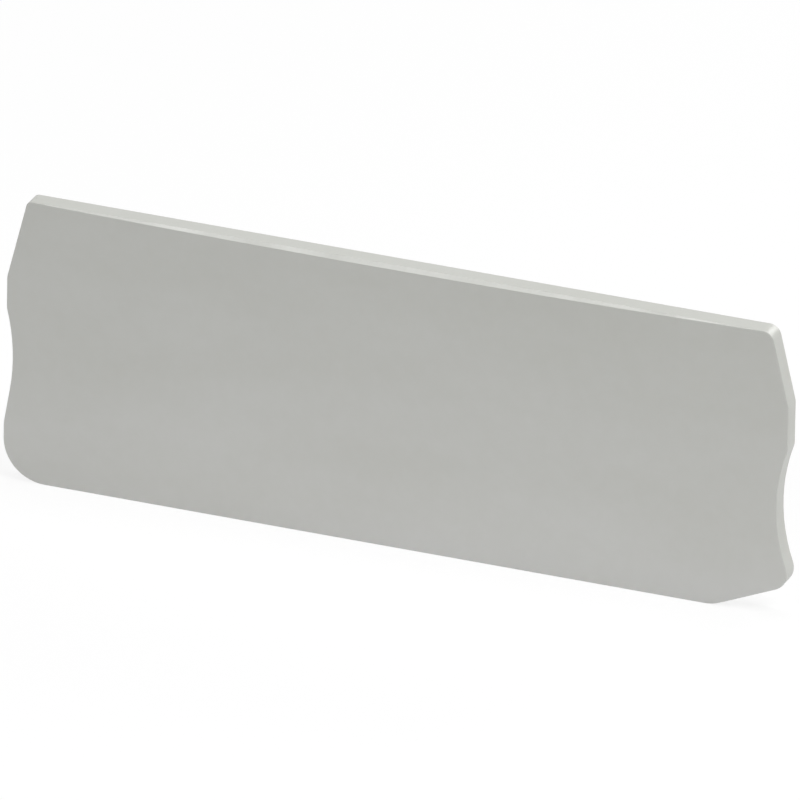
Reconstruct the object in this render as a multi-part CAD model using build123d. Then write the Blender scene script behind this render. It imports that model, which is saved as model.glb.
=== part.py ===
from math import asin, cos, degrees, radians, sin, sqrt, tan
import os

from build123d import *

# The plate. Length is measured over the two lower bulges, height from the bottom edge to the top edge.
cover_length = 87.0
cover_height = 31.8
cover_thickness = 2.2

# Both ends: an upright shoulder a little inside the lower bulge, and a flare from it in to the top edge.
shoulder_inset = 0.2
shoulder_blend_radius = 1.5
flare_angle = 13.7

# Left end, going up: large round, upright bulge, flank leaning in, shallow notch, shoulder, flare.
left_corner_radius = 4.6
left_bulge_length = 1.7
left_bulge_blend_radius = 4.0
left_flank_angle = 9.3
left_notch_depth = 0.92
left_notch_radius = 22.2
left_shoulder_length = 3.55
left_top_corner_radius = 0.7

# Right end, going up: long shallow chamfer, tight bulge, deeper notch straight after it, shoulder, flare.
chamfer_length = 8.1
chamfer_blend_radius = 4.2
right_bulge_height = 4.8
right_bulge_radius = 2.05
right_notch_depth = 1.3
right_notch_radius = 19.9
right_shoulder_length = 4.9
right_top_corner_radius = 1.3

# Edges of the plate, round the plain outer face and round the seat at the back.
outer_edge_radius = 0.1
seat_edge_radius = 0.15

# Shallow bevel between outer face and top edge. Widest at mid-length, it dies out in the rounded edge.
top_bevel_drop = 0.46
top_bevel_reach = 0.3
top_bevel_end_clearance = 1.0

# Hollow back: pockets leave a skin, a rim that follows the outline, and ribs up to the seat plane.
skin_thickness = 1.2
rim_width = 1.5
rib_width = 0.9
cross_rib_count = 4
cross_rib_spacing = 19.0
pocket_corner_radius = 0.4

# Press-in pegs. Upper pegs stand on the outer cross ribs, lower pegs on the inner ones.
peg_diameter = 2.4
peg_length = 2.6
peg_lead_in = 0.4
peg_boss_diameter = 4.4
upper_peg_drop = 8.2
lower_peg_height = 7.5

# Places that follow from the sizes above.
half_length = cover_length / 2
shoulder_x = half_length - shoulder_inset
middle_height = cover_height / 2
cross_rib_places = [cross_rib_spacing * (i - (cross_rib_count - 1) / 2) for i in range(cross_rib_count)]
upper_peg_places = [(x, cover_height - upper_peg_drop) for x in (cross_rib_places[0], cross_rib_places[-1])]
lower_peg_places = [(x, lower_peg_height) for x in cross_rib_places[1:-1]]
peg_places = upper_peg_places + lower_peg_places


def shoulder_rise(depth, radius):
    """How far above its deepest point a notch arc comes out on the shoulder line."""
    depth_from_shoulder = depth - shoulder_inset
    return sqrt(radius**2 - (radius - depth_from_shoulder) ** 2)


def flare_reach(shoulder_top):
    """Distance of the top corner from mid-length, for a flare that starts at the given height."""
    return shoulder_x - (cover_height - shoulder_top) * tan(radians(flare_angle))


def tangent_touch(point, centre, radius):
    """Where a straight line from the point, keeping the circle on its left, touches that circle."""
    way = centre - point
    swing = degrees(asin(radius / way.length))
    reach = sqrt(way.length**2 - radius**2)
    return point + way.normalized().rotate(Axis.Z, -swing) * reach


def left_end():
    """Edges up the left end, and the corners on them that are blended, each with its radius."""
    corner_centre = (-half_length + left_corner_radius, left_corner_radius)
    corner = CenterArc(corner_centre, left_corner_radius, 270, -90)
    bulge_top = Vector(-half_length, left_corner_radius + left_bulge_length)
    lean = radians(left_flank_angle)
    flank_length = (left_notch_depth - left_notch_radius * (1 - cos(lean))) / sin(lean)
    flank_top = bulge_top + Vector(sin(lean), cos(lean)) * flank_length
    notch_height = flank_top.Y + left_notch_radius * sin(lean)
    shoulder_foot = Vector(-shoulder_x, notch_height + shoulder_rise(left_notch_depth, left_notch_radius))
    shoulder_head = shoulder_foot + Vector(0, left_shoulder_length)
    top_corner = Vector(-flare_reach(shoulder_head.Y), cover_height)
    edges = [
        corner,
        Line(corner @ 1, bulge_top),
        Line(bulge_top, flank_top),
        RadiusArc(flank_top, shoulder_foot, -left_notch_radius),
        Line(shoulder_foot, shoulder_head),
        Line(shoulder_head, top_corner),
    ]
    blends = [
        (bulge_top, left_bulge_blend_radius),
        (shoulder_foot, shoulder_blend_radius),
        (shoulder_head, shoulder_blend_radius),
        (top_corner, left_top_corner_radius),
    ]
    return edges, blends


def right_end():
    """Edges down the right end, and the corners on them that are blended, each with its radius."""
    bulge_centre = Vector(half_length - right_bulge_radius, right_bulge_height)
    centre_distance = right_notch_radius + right_bulge_radius
    centre_rise = sqrt(centre_distance**2 - (centre_distance - right_notch_depth) ** 2)
    notch_height = right_bulge_height + centre_rise
    notch_centre = Vector(half_length - right_notch_depth + right_notch_radius, notch_height)
    touch = notch_centre + (bulge_centre - notch_centre) * (right_notch_radius / centre_distance)
    shoulder_foot = Vector(shoulder_x, notch_height + shoulder_rise(right_notch_depth, right_notch_radius))
    shoulder_head = shoulder_foot + Vector(0, right_shoulder_length)
    top_corner = Vector(flare_reach(shoulder_head.Y), cover_height)
    chamfer_foot = Vector(half_length - chamfer_length, 0)
    chamfer_head = tangent_touch(chamfer_foot, bulge_centre, right_bulge_radius)
    edges = [
        Line(top_corner, shoulder_head),
        Line(shoulder_head, shoulder_foot),
        RadiusArc(shoulder_foot, touch, -right_notch_radius),
        RadiusArc(touch, chamfer_head, right_bulge_radius),
        Line(chamfer_head, chamfer_foot),
    ]
    blends = [
        (top_corner, right_top_corner_radius),
        (shoulder_head, shoulder_blend_radius),
        (shoulder_foot, shoulder_blend_radius),
        (chamfer_foot, chamfer_blend_radius),
    ]
    return edges, blends


def plate_outline():
    """The wavy-ended outline, with its length along X and its height along Y."""
    left_edges, left_blends = left_end()
    right_edges, right_blends = right_end()
    top_edge = Line(left_edges[-1] @ 1, right_edges[0] @ 0)
    bottom_edge = Line(right_edges[-1] @ 1, left_edges[0] @ 0)
    outline = make_face([*left_edges, top_edge, *right_edges, bottom_edge])
    for corner, radius in left_blends + right_blends:
        nearest = outline.vertices().sort_by_distance(corner)[0]
        outline = fillet(nearest, radius)
    return outline


def plate(outline):
    """Full plate from the seat plane at Y = 0 to the outer face, with both long runs of edges rounded."""
    body = extrude(Plane.XZ * outline, cover_thickness)
    outer_face = body.faces().sort_by(Axis.Y)[0]
    body = fillet(outer_face.edges(), outer_edge_radius)
    seat_face = body.faces().sort_by(Axis.Y)[-1]
    return fillet(seat_face.edges(), seat_edge_radius)


def top_bevel(outline):
    """Cutter for the bevel: a slice of a very large cylinder, along the straight part of the top edge."""
    slope = Vector(0, top_bevel_reach, top_bevel_drop)
    depth = top_bevel_reach * top_bevel_drop / slope.length
    depth_of_round = outer_edge_radius * ((top_bevel_reach + top_bevel_drop) / slope.length - 1)
    top_edge = outline.edges().sort_by(Axis.Y)[-1].bounding_box()
    start = Vector(top_edge.min.X + top_bevel_end_clearance, depth_of_round)
    end = Vector(top_edge.max.X - top_bevel_end_clearance, depth_of_round)
    sweep = ThreePointArc(start, ((start.X + end.X) / 2, depth), end)
    outside = Polyline(end, (end.X, -cover_thickness), (start.X, -cover_thickness), start)
    across_edge = Plane(origin=(0, -cover_thickness, cover_height), x_dir=(1, 0, 0), z_dir=slope)
    return extrude(across_edge * make_face([sweep, *outside.edges()]), cover_thickness, both=True)


def back_pockets(outline):
    """Everything taken out of the back: the room inside the rim, less ribs and peg bosses."""
    floor = offset(outline, -rim_width)
    for x in cross_rib_places:
        floor -= Pos(x, middle_height) * Rectangle(rib_width, cover_height)
    floor -= Pos(0, middle_height) * Rectangle(cover_length, rib_width)
    for x, z in peg_places:
        floor -= Pos(x, z) * Circle(peg_boss_diameter / 2)
    # drawn in and out again, which rounds every inner corner of a pocket
    shrunk = offset(floor, -pocket_corner_radius, kind=Kind.INTERSECTION)
    floor = offset(shrunk, pocket_corner_radius)
    return extrude(Plane.XZ * floor, cover_thickness - skin_thickness)


def peg(x, z):
    """One round peg from the skin out past the seat plane, with a lead-in chamfer."""
    root = skin_thickness - cover_thickness
    base = Plane(origin=(x, root, z), z_dir=(0, 1, 0))
    upright = (Align.CENTER, Align.CENTER, Align.MIN)
    post = base * Cylinder(peg_diameter / 2, peg_length - root, align=upright)
    tip = post.edges().sort_by(Axis.Y)[-1]
    return chamfer(tip, peg_lead_in)


def end_cover():
    """The whole moulding in one piece."""
    outline = plate_outline()
    body = plate(outline) - top_bevel(outline) - back_pockets(outline)
    for x, z in peg_places:
        body += peg(x, z)
    return body


os.makedirs("parts", exist_ok=True)
export_step(end_cover(), "parts/end_cover.step")
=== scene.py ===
import math

import bmesh
import bpy
from mathutils import Matrix, Vector

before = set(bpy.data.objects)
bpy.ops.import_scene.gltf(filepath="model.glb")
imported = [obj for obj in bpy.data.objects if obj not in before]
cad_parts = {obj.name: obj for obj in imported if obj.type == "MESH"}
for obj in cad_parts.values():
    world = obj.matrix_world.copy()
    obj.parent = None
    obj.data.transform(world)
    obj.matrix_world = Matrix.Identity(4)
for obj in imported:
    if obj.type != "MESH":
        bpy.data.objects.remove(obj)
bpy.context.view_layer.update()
print("end cover loaded:", ", ".join(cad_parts))

scene = bpy.context.scene
scene.view_settings.view_transform = "Standard"

mm = 0.001


def linearColour(hexText):
    # "#RRGGBB" as a colour picker shows it, turned to the linear values that the shaders take
    channels = [int(hexText[i : i + 2], 16) / 255 for i in (1, 3, 5)]
    linear = [c / 12.92 if c <= 0.04045 else ((c + 0.055) / 1.055) ** 2.4 for c in channels]
    return (*linear, 1.0)


def emptyTree(owner):
    # the node tree of a new material or world, without the nodes that Blender puts there
    owner.use_nodes = True
    owner.node_tree.nodes.clear()
    return owner.node_tree


def addNode(tree, kind, settings=None, inputs=None):
    # one node with its settings, and its inputs set to a value or linked from another node's socket
    node = tree.nodes.new(kind)
    for name, value in (settings or {}).items():
        setattr(node, name, value)
    for name, value in (inputs or {}).items():
        if isinstance(value, bpy.types.NodeSocket):
            tree.links.new(value, node.inputs[name])
        else:
            node.inputs[name].default_value = value
    return node


def patternScale(sizeMm):
    # scale of a noise whose lumps are about this wide, on Object coordinates, which are in metres
    return 1 / (sizeMm * mm)


# Camera: a very long lens, to the right of square-on and a little above. Angles are in degrees.
cameraSettings = {
    "azimuth": 21.23,
    "elevation": 24.38,
    "roll": 0.956,
    "aimMm": (0.104, -1.1, 16.284),
    "distanceMm": 3604,
    "lensMm": 1572.7,
    "sensorMm": 36,
}


def makeCamera(s):
    # back points from the object to the camera, and right and up are the picture's own directions
    azimuth, elevation, roll = (math.radians(s[k]) for k in ("azimuth", "elevation", "roll"))
    back = Vector((
        math.sin(azimuth) * math.cos(elevation),
        -math.cos(azimuth) * math.cos(elevation),
        math.sin(elevation),
    ))
    level = Vector((math.cos(azimuth), math.sin(azimuth), 0))
    upright = back.cross(level)
    right = level * math.cos(roll) + upright * math.sin(roll)
    up = upright * math.cos(roll) - level * math.sin(roll)
    data = bpy.data.cameras.new("photoCamera")
    data.sensor_width = s["sensorMm"]
    data.lens = s["lensMm"]
    camera = bpy.data.objects.new("photoCamera", data)
    turned = Matrix((right, up, back)).transposed().to_4x4()
    turned.translation = (Vector(s["aimMm"]) + back * s["distanceMm"]) * mm
    camera.matrix_world = turned
    scene.collection.objects.link(camera)
    return camera


scene.camera = makeCamera(cameraSettings)
print("camera placed")


# Injection-moulded polyamide in light grey. It gives the eye an opaque, faintly warm grey with
# a soft satin sheen, a very fine even grain from the spark-eroded mould, and faint cloudy streaks
# where the melt flowed.
coverMaterial = {
    "darkGrey": "#B6B7B1",
    "lightGrey": "#BABBB6",
    "toneRange": (0.35, 0.65),  # noise values between which dark turns to light
    "cloudShare": 0.35,
    "streakLengthMm": 26,
    "ior": 1.53,
    "roughness": (0.33, 0.43),
    "patchRange": (0.3, 0.7),  # noise values between which the sheen goes from end to end
    "waveHeightMm": 0.03,
    "waveStrength": 0.25,
    "grainHeightMm": 0.004,
    "grainStrength": 0.35,
    # width of the lumps, number of finer layers, and the strength of each next layer
    "noises": {
        "streaks": {"sizeMm": 7, "detail": 2.0, "roughness": 0.5},
        "clouds": {"sizeMm": 1.6, "detail": 3.0, "roughness": 0.6},
        "patches": {"sizeMm": 5, "detail": 2.0, "roughness": 0.5},
        # moulded plates are never quite flat: a slow waviness that only bends the sheen
        "waves": {"sizeMm": 22, "detail": 0.0, "roughness": 0.5},
        # real grain is about 0.05 mm wide, too fine to show at ten pixels a millimetre, so it is coarser
        "grain": {"sizeMm": 0.28, "detail": 2.0, "roughness": 0.55},
    },
}


def makePolyamide(s):
    material = bpy.data.materials.new("mouldedPolyamide")
    tree = emptyTree(material)
    place = addNode(tree, "ShaderNodeTexCoord").outputs["Object"]
    stretch = s["noises"]["streaks"]["sizeMm"] / s["streakLengthMm"]
    alongFlow = addNode(tree, "ShaderNodeMapping", inputs={"Vector": place, "Scale": (stretch, 1, 1)})
    noise = {}
    for name, lumps in s["noises"].items():
        noise[name] = addNode(tree, "ShaderNodeTexNoise", inputs={
            "Vector": alongFlow.outputs["Vector"] if name == "streaks" else place,
            "Scale": patternScale(lumps["sizeMm"]),
            "Detail": lumps["detail"],
            "Roughness": lumps["roughness"],
        }).outputs["Fac"]
    tone = addNode(tree, "ShaderNodeMix", {"data_type": "FLOAT"}, {
        "Factor": s["cloudShare"], "A": noise["streaks"], "B": noise["clouds"]})
    colour = addNode(tree, "ShaderNodeValToRGB", inputs={"Fac": tone.outputs["Result"]})
    stops = zip(colour.color_ramp.elements, s["toneRange"], (s["darkGrey"], s["lightGrey"]))
    for stop, position, grey in stops:
        stop.position = position
        stop.color = linearColour(grey)
    sheen = addNode(tree, "ShaderNodeMapRange", inputs={
        "Value": noise["patches"],
        "From Min": s["patchRange"][0],
        "From Max": s["patchRange"][1],
        "To Min": s["roughness"][0],
        "To Max": s["roughness"][1],
    })
    waviness = addNode(tree, "ShaderNodeBump", inputs={
        "Height": noise["waves"],
        "Strength": s["waveStrength"],
        "Distance": s["waveHeightMm"] * mm,
    })
    texture = addNode(tree, "ShaderNodeBump", inputs={
        "Height": noise["grain"],
        "Strength": s["grainStrength"],
        "Distance": s["grainHeightMm"] * mm,
        "Normal": waviness.outputs["Normal"],
    })
    plastic = addNode(tree, "ShaderNodeBsdfPrincipled", inputs={
        "Base Color": colour.outputs["Color"],
        "Roughness": sheen.outputs["Result"],
        "Normal": texture.outputs["Normal"],
        "IOR": s["ior"],
        "Metallic": 0.0,
    })
    addNode(tree, "ShaderNodeOutputMaterial", inputs={"Surface": plastic.outputs["BSDF"]})
    return material


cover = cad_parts["end_cover"]
polyamide = makePolyamide(coverMaterial)
for slot in cover.material_slots:
    slot.material = polyamide
print("end cover finished in moulded polyamide")


# Studio: white paper on the table, white all round, and four soft lamps: a small one in front from
# the upper left, which draws the bright line along the edge of the outer face, one high on the
# right, one overhead and one behind. Places and sizes are in metres.
studioSettings = {
    "white": "#FFFFFF",
    "floorColour": "#F4F4F4",
    "floorSize": 6.0,
    "floorGlow": 0.86,  # share of the paper's white that is its own where it is looked at
    "softboxAim": (0, 0, 0.015),  # near the middle of the cover
    "softboxes": {
        "frontSoftbox": {"place": (-0.4, -0.87, 0.75), "size": (0.22, 0.18), "watts": 3.8},
        "rightSoftbox": {"place": (0.55, -0.2, 0.75), "size": (0.4, 0.4), "watts": 6.0},
        "overheadSoftbox": {"place": (0, 0.12, 0.95), "size": (0.5, 0.3), "watts": 3.3},
        "backSoftbox": {"place": (0.3, 0.9, 0.5), "size": (0.5, 0.4), "watts": 3.2},
    },
    # a cool beam onto the table in front: its fringe lifts the lower part of the outer face,
    # as light sent back up by the table does
    "lowBeam": {
        "place": (0.22, -0.8, 0.12),
        "aim": (-0.01, 0, -0.2),
        "degrees": 30,
        "blend": 1.0,
        "radius": 0.04,
        "watts": 24,
        "colour": "#F1EBFF",
    },
}


def seenDirectly(tree):
    # 1 for what the camera sees straight, in a glossy surface or through a clear one, 0 for diffuse light
    rays = addNode(tree, "ShaderNodeLightPath").outputs
    seen = rays["Is Camera Ray"]
    for other in ("Is Glossy Ray", "Is Transmission Ray"):
        either = addNode(tree, "ShaderNodeMath", {"operation": "MAXIMUM"}, {0: seen, 1: rays[other]})
        seen = either.outputs["Value"]
    return seen


def makeWorld(s):
    # white where it is looked at or mirrored, and no light on anything else
    world = bpy.data.worlds.new("whiteStudio")
    tree = emptyTree(world)
    surround = addNode(tree, "ShaderNodeBackground", inputs={
        "Color": linearColour(s["white"]), "Strength": seenDirectly(tree)})
    addNode(tree, "ShaderNodeOutputWorld", inputs={"Surface": surround.outputs["Background"]})
    scene.world = world


def makePaper(s):
    # matt white paper: it takes the cover's shadow, and most of its white is its own where it is
    # looked at, so that it reads as the white ground
    material = bpy.data.materials.new("mattPaper")
    tree = emptyTree(material)
    paper = addNode(tree, "ShaderNodeBsdfDiffuse", inputs={"Color": linearColour(s["floorColour"])})
    glow = addNode(tree, "ShaderNodeEmission", inputs={"Color": linearColour(s["white"])})
    share = addNode(tree, "ShaderNodeMapRange", inputs={
        "Value": seenDirectly(tree), "To Max": s["floorGlow"]})
    both = addNode(tree, "ShaderNodeMixShader", inputs={
        "Fac": share.outputs["Result"], 1: paper.outputs["BSDF"], 2: glow.outputs["Emission"]})
    addNode(tree, "ShaderNodeOutputMaterial", inputs={"Surface": both.outputs["Shader"]})
    return material


def makeFloor(s):
    sheet = bmesh.new()
    bmesh.ops.create_grid(sheet, x_segments=1, y_segments=1, size=s["floorSize"] / 2)
    mesh = bpy.data.meshes.new("floor")
    sheet.to_mesh(mesh)
    sheet.free()
    mesh.materials.append(makePaper(s))
    floor = bpy.data.objects.new("floor", mesh)
    scene.collection.objects.link(floor)


def addLamp(name, kind, lamp, aim):
    data = bpy.data.lights.new(name, kind)
    data.energy = lamp["watts"]
    light = bpy.data.objects.new(name, data)
    light.location = lamp["place"]
    light.rotation_euler = (Vector(aim) - light.location).to_track_quat("-Z", "Y").to_euler()
    scene.collection.objects.link(light)
    return data


def makeLamps(s):
    for name, lamp in s["softboxes"].items():
        data = addLamp(name, "AREA", lamp, s["softboxAim"])
        data.shape = "RECTANGLE"
        data.size, data.size_y = lamp["size"]
    beam = s["lowBeam"]
    data = addLamp("lowBeam", "SPOT", beam, beam["aim"])
    data.spot_size = math.radians(beam["degrees"])
    data.spot_blend = beam["blend"]
    data.color = linearColour(beam["colour"])[:3]
    data.shadow_soft_size = beam["radius"]


makeWorld(studioSettings)
makeFloor(studioSettings)
makeLamps(studioSettings)
print("studio set up")
